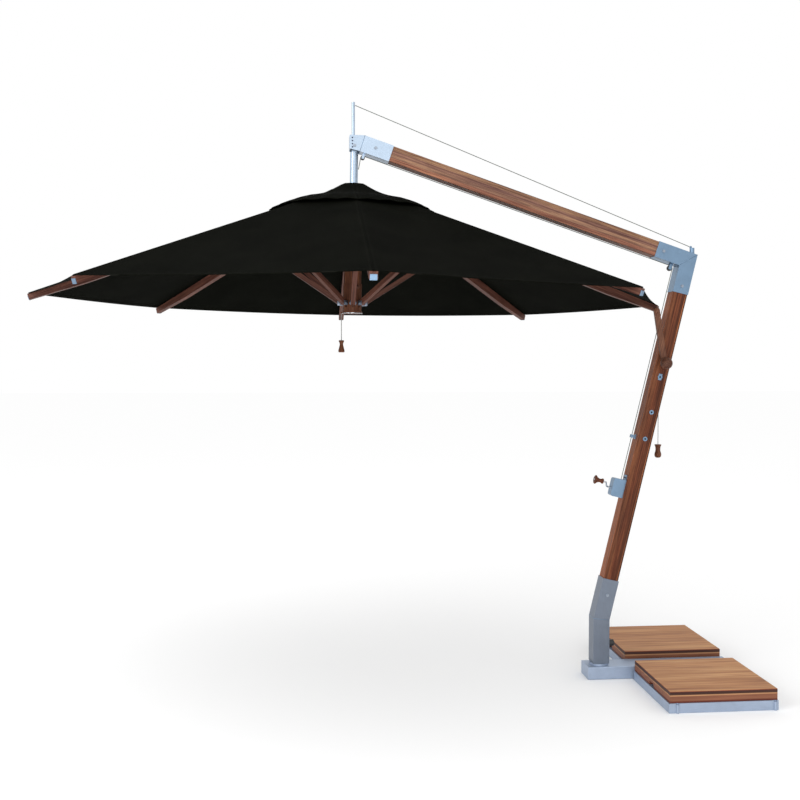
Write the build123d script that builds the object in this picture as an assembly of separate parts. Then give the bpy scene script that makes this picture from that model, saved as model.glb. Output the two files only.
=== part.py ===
from build123d import *
from math import cos, hypot, radians, sin, sqrt, tan
import os

# Cantilever patio umbrella with a weighted base. Millimetres, +Z up.
# The origin is on the floor at the mast's swivel axis. +X points at the base weights and the
# canopy hangs over -X.

# ---- driving dimensions -------------------------------------------------------------------
# base
BEAM_X = (-83.0, 764.0)
BEAM_W = 144.0
BEAM_H = 73.0
BEAM_WALL = 4.0
TRAY_X = (177.0, 764.0)
TRAY_Y = (92.0, 651.0)
TRAY_H = 50.5
TRAY_WALL = 26.0
TRAY_FLOOR = 4.0
BOLT_X = (222.0, 746.0)
BOLT_POST_R = 8.5
COVER_X = (183.0, 760.0)
COVER_Y = (90.0, 645.0)
COVER_Z = (51.0, 111.0)
COVER_BOARD = 21.0
SKIRT_WALL = 18.0
NOTCH_W = 70.0
NOTCH_H = 22.0
SLAB_H = 40.0
SLAB_GAP = 8.0

# swivel post and mast
POST_OUT = 94.0
POST_IN = 86.0
POST_FOOT_Z = 84.0
COLLAR_R = 55.0
SPIGOT_R = 36.0
SPIGOT_TOP = 312.0
BUSH_H = 20.0
BEND_Z = 340.0
LEAN = 13.5
SOCKET_LEN = 232.0
TIMBER = 86.0
SLEEVE_OUT = 91.0
LOCK_Z = 192.0
LOCK_R = 19.0
LOCK_LEN = 35.0

# boom
CORNER_Z = 2390.0
BOOM_RISE = 18.5
ELBOW_LEG = 194.0
TIMBER_END = 46.0
ELBOW_BOLT = 153.0
SLEEVE_SPAN = (1789.0, 1958.0)
SLEEVE_BOLT = 1880.0
SOCKET_BOLT = 141.0
BOLT_R = 4.0
HEAD_R = 9.0

# hanging canopy, drawn upright and then leaned by REST_TILT about the hanger pin
HANG_X = -1407.0
HANG_Z = 2998.0
REST_TILT = 0.8
TUBE_R = 22.0
TUBE_IN = 19.5
TUBE_Z = (2110.0, 2968.0)
EYE_HALF = 14.0
BLOCK_LEFT_X = -1434.0
BLOCK_TOP_Z = 3056.0
BLOCK_FOOT_Z = 2982.0
CHEEK = 4.5
SPUR_R = 9.0
SPUR_TOP_Z = 3244.0
SIDES = 8
CANOPY_R = 1750.0
RIM_Z = 2158.0
SLOPE = 20.1
CLOTH = 2.5
CROWN_R = 300.0
VENT_R = 465.0
VENT_Z = 2648.0
VENT_TOP_Z = 2791.0
CAP_R = 69.5

# ribs and struts
RIB_DEPTH = 44.0
RIB_WIDTH = 34.0
RIB_DROP = 28.0
RIB_PIVOT_R = 65.0
RIB_TIP_R = 1745.0
RIB_TIP_DEPTH = 32.0
RIB_CLOSED = 82.5
PIN_R = 4.0
RUN = 0.06
STRUT_AT = 607.0
STRUT_DROP = 38.0
STRUT_DEPTH = 26.0
STRUT_WIDTH = 26.0
RUNNER_PIVOT = (66.0, 2135.0)

# runner
HUB_R = 51.5
HUB_Z = (2079.0, 2243.0)
POLE_R = 48.5
LATCH_Z = 2224.0
POLE_TOP_Z = 2650.0
LIFT_R = 18.5
LIFT_TOP_Z = 2900.0

# winch, on the mast's left face
WINCH_S = 752.0
WINCH_DEPTH = 72.0
WINCH_H = 104.0
WINCH_W = 60.0
WINCH_WALL = 4.0
AXLE_S = 745.0
CRANK_R = 100.0
CRANK_ANGLE = 73.7
CRANK_REACH = 250.0
DRUM_R = 17.0

# ropes
ROPE_R = 2.0
ROPE_UNDER_BOOM = 56.0
ROPE_OFF_MAST = 66.0
PULLEY_R = 13.0
PULLEY_END_R = 9.0
STAY_R = 2.0
CORD_R = 2.0

# stabiliser arm
HOLE_Z = (1802.0, 1724.0, 1523.0, 1371.0)
ARM_TOP = (304.0, 2100.0)
ARM_Y = (-67.0, -48.0)
ARM_WIDTH = 32.0
ARM_BALL_R = 19.0
KNOB_R = 34.0

# pull cords
MAST_CORD = (357.0, 50.0)
MAST_CORD_Z = (1332.0, 1716.0)
HUB_CORD = (-1481.0, -26.0)
HUB_CORD_Z = (1930.0, 2078.0)

# ---- worked out from them -----------------------------------------------------------------
CORNER = ((CORNER_Z - BEND_Z) * tan(radians(LEAN)), CORNER_Z)
RISE = tan(radians(SLOPE))
RIB_PIVOT_Z = RIM_Z + (CANOPY_R - RIB_PIVOT_R) * RISE - RIB_DROP / cos(radians(SLOPE))
RIB_LEN = (RIB_TIP_R - RIB_PIVOT_R) / cos(radians(SLOPE))
DOWN = (-sin(radians(LEAN)), -cos(radians(LEAN)))
OUT = (-cos(radians(BOOM_RISE)), sin(radians(BOOM_RISE)))
MAST = Plane(origin=(0, 0, BEND_Z), x_dir=(-DOWN[1], 0, DOWN[0]), z_dir=(-DOWN[0], 0, -DOWN[1]))
BOOM = Plane(origin=(CORNER[0], 0, CORNER[1]), x_dir=(OUT[1], 0, -OUT[0]), z_dir=(OUT[0], 0, OUT[1]))
MAST_LEN = (CORNER[1] - BEND_Z) / cos(radians(LEAN))
FLAT = (Align.CENTER, Align.CENTER, Align.MIN)


def block(x, y, z):
    """A box between the low and high ends of x, y and z."""
    size = (x[1] - x[0], y[1] - y[0], z[1] - z[0])
    return Pos((x[0] + x[1]) / 2, (y[0] + y[1]) / 2, (z[0] + z[1]) / 2) * Box(*size)


def rod(start, end, radius):
    """A round bar from start to end."""
    a, b = Vector(*start), Vector(*end)
    return Plane(origin=a, z_dir=b - a) * Cylinder(radius, (b - a).length, align=FLAT)


def cross_rod(spot, radius, y):
    """A round bar along Y at spot, an (X, Z) pair."""
    return rod((spot[0], y[0], spot[1]), (spot[0], y[1], spot[1]), radius)


def bar(plane, width, span):
    """A solid square bar along the plane's Z, between the two ends of span."""
    return plane * Pos(0, 0, span[0]) * Box(width, width, span[1] - span[0], align=FLAT)


def place(plane, x, z):
    """The (X, Z) pair of a point given in the plane's own X and Z."""
    point = plane.from_local_coords((x, 0, z))
    return point.X, point.Z


def slice_y(points, y):
    """A plate with an outline of (X, Z) pairs, between two values of y."""
    face = make_face(Polyline(*[(x, y[0], z) for x, z in points], close=True))
    return extrude(face, amount=y[1] - y[0], dir=(0, 1, 0))


def in_plane(plane, x, y, z):
    """A box given in the plane's own coordinates."""
    return plane * block(x, y, z)


def mast_at(z):
    """X of the mast's centre line at a height."""
    return (z - BEND_Z) * tan(radians(LEAN))


def turned(profile):
    """A turned piece about the Z axis whose side passes through (radius, height) pairs."""
    outline = [(0, 0, profile[0][1])]
    outline += [(r, 0, z) for r, z in profile]
    outline += [(0, 0, profile[-1][1])]
    return revolve(make_face(Polyline(*outline, close=True)), Axis.Z)


def smooth_turned(profile):
    """A turned piece about the Z axis whose side is one smooth curve through the pairs."""
    points = [(r, 0, z) for r, z in profile]
    low, high = (0, 0, profile[0][1]), (0, 0, profile[-1][1])
    outline = Spline(*points) + Line(low, points[0]) + Line(points[-1], high) + Line(high, low)
    return revolve(make_face(outline), Axis.Z)


def leaned(shape):
    """The upright shape, leaned with the hanger at rest."""
    return shape.rotate(Axis((HANG_X, 0, HANG_Z), (0, 1, 0)), REST_TILT)


def around(shape, k):
    """A shape drawn on the hanger's +X side, turned to side k of the canopy."""
    return leaned(shape.rotate(Axis((HANG_X, 0, 0), (0, 0, 1)), 360.0 / SIDES * k))


def spread(make):
    """One copy of the upright shape per side of the canopy, in one list."""
    axis = Axis((HANG_X, 0, 0), (0, 0, 1))
    return [make.rotate(axis, 360.0 / SIDES * k) for k in range(SIDES)]


def hang_rod(radius, z):
    """A round bar on the hanger's axis, upright."""
    return rod((HANG_X, 0, z[0]), (HANG_X, 0, z[1]), radius)


def octagon(radius, z):
    """An octagon with a corner on +X, round the hanger's axis."""
    turns = [radians(360.0 / SIDES * k) for k in range(SIDES)]
    corners = [(HANG_X + radius * cos(t), radius * sin(t), z) for t in turns]
    return make_face(Polyline(*corners, close=True))


def cone_sheet(inner, outer):
    """A thin eight-sided sheet between two rings, each a (radius, height) pair."""
    top = loft([octagon(*outer), octagon(*inner)])
    under = loft([octagon(outer[0], outer[1] - CLOTH), octagon(inner[0], inner[1] - CLOTH)])
    opening = extrude(octagon(inner[0], inner[1] - 50), 100)
    return top - under - opening


# ---- base ---------------------------------------------------------------------------------
def base_beam():
    half = BEAM_W / 2
    shell = block(BEAM_X, (-half, half), (0, BEAM_H))
    shell = fillet(shell.edges().filter_by(Axis.X), 5)
    inside = (BEAM_X[0] + BEAM_WALL, BEAM_X[1] - BEAM_WALL)
    hollow = block(inside, (BEAM_WALL - half, half - BEAM_WALL), (BEAM_WALL, BEAM_H - BEAM_WALL))
    well = rod((0, 0, BEAM_H - BEAM_WALL - 1), (0, 0, BEAM_H + 1), SPIGOT_R)
    return shell - hollow - well


def swivel_spigot():
    pin = rod((0, 0, BEAM_WALL), (0, 0, SPIGOT_TOP), SPIGOT_R)
    bore = rod((0, 0, BEAM_WALL + 6), (0, 0, SPIGOT_TOP + 1), SPIGOT_R - 5)
    collar = rod((0, 0, BEAM_H), (0, 0, POST_FOOT_Z - 0.5), COLLAR_R)
    return pin + collar - bore


def mirrored(shape, side):
    """The +Y shape for side 1, and its mirror image for side -1."""
    return shape if side > 0 else mirror(shape, Plane.XZ)


def tray(side):
    pan = block(TRAY_X, TRAY_Y, (0, TRAY_H))
    x = (TRAY_X[0] + TRAY_WALL, TRAY_X[1] - TRAY_WALL)
    y = (TRAY_Y[0] + TRAY_WALL, TRAY_Y[1] - TRAY_WALL)
    pan -= block(x, y, (TRAY_FLOOR, TRAY_H + 1))
    pan += block(TRAY_X, (BEAM_W / 2, TRAY_Y[0]), (0, TRAY_FLOOR))
    for x in BOLT_X:
        pan -= rod((x, TRAY_Y[1], -1), (x, TRAY_Y[1], TRAY_H + 1), BOLT_POST_R)
    return mirrored(pan, side)


def tray_bolts():
    """Upright levelling screws half sunk in each tray's long outer wall."""
    bolts = []
    for side in (1, -1):
        for x in BOLT_X:
            post = rod((x, TRAY_Y[1], 0), (x, TRAY_Y[1], TRAY_H - 5), BOLT_POST_R)
            bolts.append(mirrored(post, side))
    return bolts


def slab_spans(low, high):
    """Two equal spans side by side between low and high."""
    middle = (low + high) / 2
    return ((low + SLAB_GAP, middle - SLAB_GAP / 2), (middle + SLAB_GAP / 2, high - SLAB_GAP))


def weight_slabs():
    slabs = []
    for side in (1, -1):
        for x in slab_spans(TRAY_X[0] + TRAY_WALL, TRAY_X[1] - TRAY_WALL):
            for y in slab_spans(TRAY_Y[0] + TRAY_WALL, TRAY_Y[1] - TRAY_WALL):
                slab = block(x, y, (TRAY_FLOOR, TRAY_FLOOR + SLAB_H))
                slabs.append(mirrored(chamfer(slab.edges().filter_by(Axis.Z), 6), side))
    return slabs


def hand_notch():
    """The finger hole at the foot of a cover's end board."""
    y = (COVER_Y[0] + COVER_Y[1]) / 2
    x = (COVER_X[0] - 1, COVER_X[0] + SKIRT_WALL + 1)
    slot = block(x, (y - NOTCH_W / 2, y + NOTCH_W / 2), (COVER_Z[0] - 1, COVER_Z[0] + NOTCH_H))
    return fillet(slot.edges().filter_by(Axis.X).group_by(Axis.Z)[-1], NOTCH_H * 0.7)


def cover(side):
    """Top board, two long skirt boards and two short ones, each a piece of its own."""
    deck_z = COVER_Z[1] - COVER_BOARD
    deck = block(COVER_X, COVER_Y, (deck_z, COVER_Z[1]))
    deck = fillet(deck.edges().group_by(Axis.Z)[-1], 2)
    skirt_z = (COVER_Z[0], deck_z)
    y_in = (COVER_Y[0] + SKIRT_WALL, COVER_Y[1] - SKIRT_WALL)
    boards = [
        deck,
        block(COVER_X, (COVER_Y[0], y_in[0]), skirt_z),
        block(COVER_X, (y_in[1], COVER_Y[1]), skirt_z),
        block((COVER_X[0], COVER_X[0] + SKIRT_WALL), y_in, skirt_z) - hand_notch(),
        block((COVER_X[1] - SKIRT_WALL, COVER_X[1]), y_in, skirt_z),
    ]
    return [mirrored(board, side) for board in boards]


# ---- mast ---------------------------------------------------------------------------------
def through_hole(plane, along):
    """A bolt hole across a tube or timber, on its centre line."""
    return cross_rod(place(plane, 0, along), BOLT_R, (-100, 100))


def bent_bar(width, foot_z, top):
    """A square bar, upright and then leaning, mitred at the bend."""
    half, lean = width / 2, radians(LEAN)
    side = half * tan(lean / 2)
    right, left = place(MAST, half, top), place(MAST, -half, top)
    outline = [
        (-half, foot_z),
        (half, foot_z),
        (half, BEND_Z - side),
        right,
        left,
        (-half, BEND_Z + side),
    ]
    return slice_y(outline, (-half, half))


def mast_socket():
    body = bent_bar(POST_OUT, POST_FOOT_Z, SOCKET_LEN)
    body -= bent_bar(POST_IN, POST_FOOT_Z - 1, SOCKET_LEN + 1)
    body -= through_hole(MAST, SOCKET_BOLT)
    return body - rod((0, 0, LOCK_Z), (60, 0, LOCK_Z), 5.0 + RUN)


def swivel_bushes():
    half = POST_IN / 2
    rings = []
    for z in (POST_FOOT_Z, SPIGOT_TOP - BUSH_H - 10):
        ring = block((-half, half), (-half, half), (z, z + BUSH_H))
        rings.append(ring - rod((0, 0, z - 1), (0, 0, z + BUSH_H + 1), SPIGOT_R + RUN))
    return rings


def lock_knob():
    """A round grip with a threaded stem, in the post's right wall."""
    face = POST_OUT / 2 + 1
    stem = rod((SPIGOT_R + 2, 0, LOCK_Z), (face, 0, LOCK_Z), 5)
    grip = rod((face, 0, LOCK_Z), (face + LOCK_LEN, 0, LOCK_Z), LOCK_R)
    boss = rod((face + LOCK_LEN, 0, LOCK_Z), (face + LOCK_LEN + 5, 0, LOCK_Z), LOCK_R / 2)
    return stem + grip + boss


def mast_timber():
    timber = bar(MAST, TIMBER, (8, MAST_LEN - TIMBER_END))
    timber = fillet(timber.edges().filter_by(lambda e: e.length > 1000), 2.5)
    timber -= through_hole(MAST, SOCKET_BOLT)
    timber -= through_hole(MAST, MAST_LEN - ELBOW_BOLT)
    for z in HOLE_Z:
        timber -= cross_rod((mast_at(z), z), 9, (-TIMBER, 20 - TIMBER / 2))
    return timber


def tilt_inserts():
    """A metal bush in each hole of the mast's near face."""
    face = -TIMBER / 2
    inserts = []
    for k, z in enumerate(HOLE_Z):
        spot = (mast_at(z), z)
        bush = cross_rod(spot, 9, (face, face + 20))
        bush += cross_rod(spot, 13, (face - 3, face))
        if k == 1:
            centre = MAST.to_local_coords(Vector(spot[0], 0, spot[1])).Z
            bush += in_plane(MAST, (-10, 10), (face - 3, face), (centre - 18, centre + 18))
        inserts.append(bush - cross_rod(spot, 5 + RUN, (face - 4, face + 21)))
    return inserts


def boom_timber():
    timber = bar(BOOM, TIMBER, (TIMBER_END, SLEEVE_SPAN[1] - 12))
    timber = fillet(timber.edges().filter_by(lambda e: e.length > 1000), 2.5)
    return timber - through_hole(BOOM, ELBOW_BOLT) - through_hole(BOOM, SLEEVE_BOLT)


def corner_bar(width, leg):
    """A square bar of two legs mitred at the corner of mast and boom."""
    half = width / 2
    boom_up, mast_right = (OUT[1], -OUT[0]), (-DOWN[1], DOWN[0])
    dot = boom_up[0] * mast_right[0] + boom_up[1] * mast_right[1]
    mitre = [half * (boom_up[i] + mast_right[i]) / (1 + dot) for i in (0, 1)]

    def end(along, normal, side):
        return tuple(CORNER[i] + along[i] * leg + side * half * normal[i] for i in (0, 1))

    outline = [
        end(OUT, boom_up, 1),
        (CORNER[0] + mitre[0], CORNER[1] + mitre[1]),
        end(DOWN, mast_right, 1),
        end(DOWN, mast_right, -1),
        (CORNER[0] - mitre[0], CORNER[1] - mitre[1]),
        end(OUT, boom_up, -1),
    ]
    return slice_y(outline, (-half, half))


def elbow_bracket():
    """Two square tubes mitred at the corner, with the pulley's two lugs under the boom."""
    body = corner_bar(SLEEVE_OUT, ELBOW_LEG) - corner_bar(TIMBER, ELBOW_LEG + 1)
    body -= through_hole(BOOM, ELBOW_BOLT)
    body -= through_hole(MAST, MAST_LEN - ELBOW_BOLT)
    return body + pulley_lugs(pulley_spots()[0], PULLEY_R)


def pulley_lugs(spot, radius):
    """Two cheeks and a pin that hang a pulley under the boom."""
    local = BOOM.to_local_coords(Vector(spot[0], 0, spot[1]))
    foot, top = local.X - radius * 0.6, 0.3 - SLEEVE_OUT / 2
    lugs = cross_rod(spot, 3, (-11, 11))
    for side in (-1, 1):
        y = sorted((side * 8.5, side * 11.5))
        lugs += in_plane(BOOM, (foot, top), y, (local.Z - radius * 0.7, local.Z + radius * 0.7))
    return lugs


def rope_line():
    """The lift cable's corners as (X, Z) pairs, from the hanger to the winch."""
    turn_at = SLEEVE_SPAN[1] - 14
    upper = place(BOOM, -ROPE_UNDER_BOOM, turn_at)
    start = (HANG_X + TUBE_R + 1.2, upper[1] - 78)
    mast_x = CORNER[0] - ROPE_OFF_MAST / cos(radians(LEAN))
    rise, lean = tan(radians(BOOM_RISE)), tan(radians(LEAN))
    below = CORNER[1] - ROPE_UNDER_BOOM / cos(radians(BOOM_RISE))
    x = (mast_x + (below + rise * CORNER[0] - CORNER[1]) * lean) / (1 + rise * lean)
    lower = (x, below - rise * (x - CORNER[0]))
    foot = place(MAST, -ROPE_OFF_MAST, AXLE_S + DRUM_R + 6)
    return [start, upper, lower, foot]


def arc_centre(before, corner, after, radius):
    """Centre of the arc that rounds a corner."""
    u = [(before[i] - corner[i]) / hypot(before[0] - corner[0], before[1] - corner[1]) for i in (0, 1)]
    v = [(after[i] - corner[i]) / hypot(after[0] - corner[0], after[1] - corner[1]) for i in (0, 1)]
    cosine = u[0] * v[0] + u[1] * v[1]
    reach = radius / sqrt((1 - cosine) / 2)
    size = hypot(u[0] + v[0], u[1] + v[1])
    return tuple(corner[i] + (u[i] + v[i]) / size * reach for i in (0, 1))


def pulley_spots():
    """(X, Z) of the elbow pulley and of the boom-end pulley."""
    start, upper, lower, foot = rope_line()
    elbow = arc_centre(upper, lower, foot, PULLEY_R + ROPE_R + 0.3)
    end = arc_centre(start, upper, lower, PULLEY_END_R + ROPE_R + 0.3)
    return elbow, end


def lift_cable():
    points = [(x, 0, z) for x, z in rope_line()]
    radii = [PULLEY_END_R + ROPE_R + 0.3, PULLEY_R + ROPE_R + 0.3]
    line = FilletPolyline(*points, radius=radii)
    start = Plane(origin=line @ 0, z_dir=line % 0)
    return sweep(start * Circle(ROPE_R), path=line)


def pulley(spot, radius):
    """A grooved wheel with a running bore."""
    rim = radius + 2.5
    profile = [(rim, -7), (rim, -5), (radius, -2.5), (radius, 2.5), (rim, 5), (rim, 7)]
    wheel = turned(profile) - Cylinder(3 + RUN, 20)
    return Pos(spot[0], 0, spot[1]) * Rot(90, 0, 0) * wheel


def end_block(inset, top_inset, y):
    """The hanger block's side outline beyond the boom, inset from its left and top."""
    high, low = place(BOOM, SLEEVE_OUT / 2, SLEEVE_SPAN[1]), place(BOOM, -SLEEVE_OUT / 2, SLEEVE_SPAN[1])
    left = BLOCK_LEFT_X + inset
    outline = [high, (left, BLOCK_TOP_Z - top_inset), (left, BLOCK_FOOT_Z), low]
    return slice_y(outline, y)


def boom_end_sleeve():
    """The boom's end sleeve, with the open-bottomed block that holds the hanger pin."""
    half = SLEEVE_OUT / 2
    body = bar(BOOM, SLEEVE_OUT, SLEEVE_SPAN) - bar(BOOM, TIMBER, (SLEEVE_SPAN[0] - 1, SLEEVE_SPAN[1] - 12))
    body += end_block(0, 0, (-half, half))
    left = BLOCK_LEFT_X + CHEEK
    right = HANG_X + TUBE_R + 5
    body -= block((left, right), (CHEEK - half, half - CHEEK), (HANG_Z - 80, BLOCK_TOP_Z - 8))
    body -= through_hole(BOOM, SLEEVE_BOLT)
    body -= cross_rod((HANG_X, HANG_Z), BOLT_R, (-60, 60))
    for spot in screw_spots():
        body -= cross_rod(spot, 2, (-half - 1, CHEEK - half))
    return body + pulley_lugs(pulley_spots()[1], PULLEY_END_R)


def screw_spots():
    """(X, Z) of the four screws in the block's near cheek."""
    return [(HANG_X - 12, z) for z in (2990.0, 3007.0, 3024.0, 3041.0)]


def through_bolt(spot, width):
    """A bolt across a square tube, with a washer face and a hex nut on each side."""
    half = width / 2
    bolt = cross_rod(spot, BOLT_R, (-half, half))
    for side in (-1, 1):
        bolt += cross_rod(spot, HEAD_R, sorted((side * half, side * (half + 2))))
        cap = Pos(spot[0], 0, spot[1]) * Rot(90, 0, 0) * extrude(RegularPolygon(7, 6), 5)
        bolt += Pos(0, side * (half + 2) + (5 if side > 0 else 0), 0) * cap
    return bolt


def frame_bolts():
    return [
        through_bolt(place(MAST, 0, SOCKET_BOLT), POST_OUT),
        through_bolt(place(MAST, 0, MAST_LEN - ELBOW_BOLT), SLEEVE_OUT),
        through_bolt(place(BOOM, 0, ELBOW_BOLT), SLEEVE_OUT),
        through_bolt(place(BOOM, 0, SLEEVE_BOLT), SLEEVE_OUT),
        through_bolt((HANG_X, HANG_Z), SLEEVE_OUT),
    ]


def small_screws():
    """Block screws in the near cheek, and the two screws of the winch's flange."""
    face = -SLEEVE_OUT / 2
    screws = []
    for spot in screw_spots():
        screws.append(cross_rod(spot, 2, (face, face + 4)) + cross_rod(spot, 4, (face - 2, face)))
    for y in (-12, 12):
        shank = rod((-TIMBER / 2 - 4, y, WINCH_S + 66), (-TIMBER / 2 - 0.3, y, WINCH_S + 66), 2)
        head = rod((-TIMBER / 2 - 7, y, WINCH_S + 66), (-TIMBER / 2 - 4, y, WINCH_S + 66), 4.5)
        screws.append(MAST * (shank + head))
    return screws


def spur_rod():
    return rod((HANG_X - 5, 0, BLOCK_TOP_Z + 1.5), (HANG_X - 5, 0, SPUR_TOP_Z), SPUR_R)


def stay_anchor():
    """A stud on the elbow's top face with an eye for the stay cable."""
    stud = rod((530, 0, 2410), (530, 0, 2463), 13.5) - corner_bar(SLEEVE_OUT, ELBOW_LEG)
    return stud + Pos(522, 0, 2468) * Sphere(7)


def stay_cable():
    return rod((HANG_X + 5.5, 0, 3227), (514, 0, 2470.5), STAY_R)


def cable_guide():
    """A small saddle on the mast's left face, clear of the lift cable."""
    s = (1370 - BEND_Z) / cos(radians(LEAN))
    plate = in_plane(MAST, (-TIMBER / 2 - 4, -TIMBER / 2), (-9, 9), (s - 14, s + 14))
    near = in_plane(MAST, (-ROPE_OFF_MAST - 8, -TIMBER / 2 - 4), (-8, -5), (s - 9, s + 9))
    far = in_plane(MAST, (-ROPE_OFF_MAST - 8, -TIMBER / 2 - 4), (5, 8), (s - 9, s + 9))
    return plate + near + far


# ---- winch --------------------------------------------------------------------------------
def winch_housing():
    half = WINCH_W / 2
    x = (-TIMBER / 2 - WINCH_DEPTH, -TIMBER / 2)
    s = (WINCH_S - WINCH_H / 2, WINCH_S + WINCH_H / 2)
    shell = block(x, (-half, half), s)
    shell = fillet(shell.edges().filter_by(Axis.Y).group_by(Axis.X)[0], 12)
    w = WINCH_WALL
    shell -= block((x[0] + w, x[1] - w), (w - half, half - w), (s[0] + w, s[1] - w))
    shell += block((x[1] - w, x[1]), (-22, 22), (s[1], s[1] + 30))
    shell -= rod((x[0] - 1, 0, AXLE_S), (x[1] - 1, 0, AXLE_S), 6 + RUN)
    shell -= rod((-ROPE_OFF_MAST, 0, s[1] - w - 1), (-ROPE_OFF_MAST, 0, s[1] + 1), 5)
    for y in (-12, 12):
        shell -= rod((x[1] - w - 1, y, WINCH_S + 66), (x[1] - 0.3, y, WINCH_S + 66), 2)
    return MAST * shell


def winch_drum():
    x = (-TIMBER / 2 - WINCH_DEPTH + 10, -TIMBER / 2 - 12)
    drum = rod((x[0], 0, AXLE_S), (x[1], 0, AXLE_S), DRUM_R - 5)
    for a in (x[0], x[1] - 4):
        drum += rod((a, 0, AXLE_S), (a + 4, 0, AXLE_S), DRUM_R)
    return MAST * (drum - rod((x[0] - 1, 0, AXLE_S), (x[1] + 1, 0, AXLE_S), 6))


def crank_point(x, radius):
    """A point of the crank in the mast's own coordinates."""
    angle = radians(CRANK_ANGLE)
    return (x, -radius * sin(angle), AXLE_S + radius * cos(angle))


def crank_arm():
    """Axle, S-shaped arm and grip pin, from one bent bar."""
    face = -TIMBER / 2 - WINCH_DEPTH
    axle = rod((-TIMBER / 2 - 1.5, 0, AXLE_S), (face - 10, 0, AXLE_S), 6)
    points = [
        crank_point(face - 8, 0),
        crank_point(face - 26, 0),
        crank_point(face - 66, CRANK_R),
        crank_point(-CRANK_REACH, CRANK_R),
    ]
    line = FilletPolyline(*points, radius=12)
    start = Plane(origin=line @ 0, z_dir=line % 0)
    return MAST * (axle + sweep(start * Circle(5), path=line))


def crank_knob():
    """A turned wooden grip that spins on the crank's pin."""
    profile = [(13, 0), (15, 3), (11, 14), (12, 28), (20, 40), (25, 47), (22, 51), (14, 52)]
    grip = smooth_turned(profile) - Cylinder(5 + RUN, 200)
    centre = crank_point(1.0 - CRANK_REACH + 52, CRANK_R)
    return MAST * Pos(*centre) * Rot(0, -90, 0) * grip


# ---- stabiliser and pull cords ------------------------------------------------------------
def clamp_spot():
    return (mast_at(HOLE_Z[0]), HOLE_Z[0])


def clamp_knob():
    """A ball grip and its shaft, through the arm and into the top bush of the mast."""
    spot = clamp_spot()
    ball = Pos(spot[0], ARM_Y[0] - 27, spot[1]) * Sphere(KNOB_R)
    ball -= cross_rod(spot, KNOB_R + 5, (ARM_Y[0] - 1, ARM_Y[0] + 40))
    return ball + cross_rod(spot, 5, (ARM_Y[0] - 2, 16 - TIMBER / 2))


def stabiliser_arm():
    """A timber arm from the clamp up to a ball beside the rim of the canopy."""
    foot = clamp_spot()
    middle = (ARM_Y[0] + ARM_Y[1]) / 2
    run = Vector(ARM_TOP[0] - foot[0], 0, ARM_TOP[1] - foot[1])
    plane = Plane(origin=(foot[0], middle, foot[1]), x_dir=(0, 1, 0), z_dir=run)
    thick = ARM_Y[1] - ARM_Y[0]
    stave = plane * Box(thick, ARM_WIDTH, run.length, align=FLAT)
    stave += cross_rod(foot, ARM_WIDTH / 2, ARM_Y)
    ball = Pos(ARM_TOP[0], middle, ARM_TOP[1]) * Sphere(ARM_BALL_R)
    return stave + ball - cross_rod(foot, 5 + RUN, (ARM_Y[0] - 1, ARM_Y[1] + 1))


def hanging_cord(spot, z):
    return rod((spot[0], spot[1], z[0]), (spot[0], spot[1], z[1]), CORD_R)


def mast_toggle():
    profile = [(8, -77), (17, -70), (19.5, -58), (17, -46), (14, -34), (14, -23), (17, -8), (19.5, -2), (12, 0)]
    body = smooth_turned(profile)
    return Pos(MAST_CORD[0], MAST_CORD[1], MAST_CORD_Z[0] - 0.4) * body


def hub_toggle():
    profile = [(14, -67), (17, -63), (16, -52), (12, -36), (9.5, -22), (12, -12), (15, -4), (12, 0)]
    body = smooth_turned(profile)
    return Pos(HUB_CORD[0], HUB_CORD[1], HUB_CORD_Z[0] - 0.4) * body


# ---- canopy frame -------------------------------------------------------------------------
def hanger_tube():
    tube = hang_rod(TUBE_R, TUBE_Z) - hang_rod(TUBE_IN, (TUBE_Z[0] - 1, TUBE_Z[1] - 20))
    eye = block((HANG_X - EYE_HALF, HANG_X + EYE_HALF), (-18, 18), (TUBE_Z[1] - 1, HANG_Z))
    eye += cross_rod((HANG_X, HANG_Z), EYE_HALF, (-18, 18))
    return leaned(tube + eye - cross_rod((HANG_X, HANG_Z), BOLT_R + RUN, (-20, 20)))


def upper_hub():
    """A slotted disc with one pin per rib."""
    disc = hang_rod(76, (RIB_PIVOT_Z - 14, RIB_PIVOT_Z + 22)) - hang_rod(TUBE_R, (2600, 2900))
    slot = block((HANG_X + 48, HANG_X + 90), (-9, 9), (RIB_PIVOT_Z - 40, RIB_PIVOT_Z + 40))
    pin = cross_rod((HANG_X + RIB_PIVOT_R, RIB_PIVOT_Z), PIN_R, (-10, 10))
    for cut in spread(slot):
        disc -= cut
    for bolt in spread(pin):
        disc += bolt
    return leaned(disc)


def rib_plane():
    """Along the rib from its pin: local Z runs outward, local X points up off its top face."""
    slope = radians(SLOPE)
    origin = (HANG_X + RIB_PIVOT_R, 0, RIB_PIVOT_Z)
    return Plane(origin=origin, x_dir=(sin(slope), 0, cos(slope)), z_dir=(cos(slope), 0, -sin(slope)))


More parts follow.
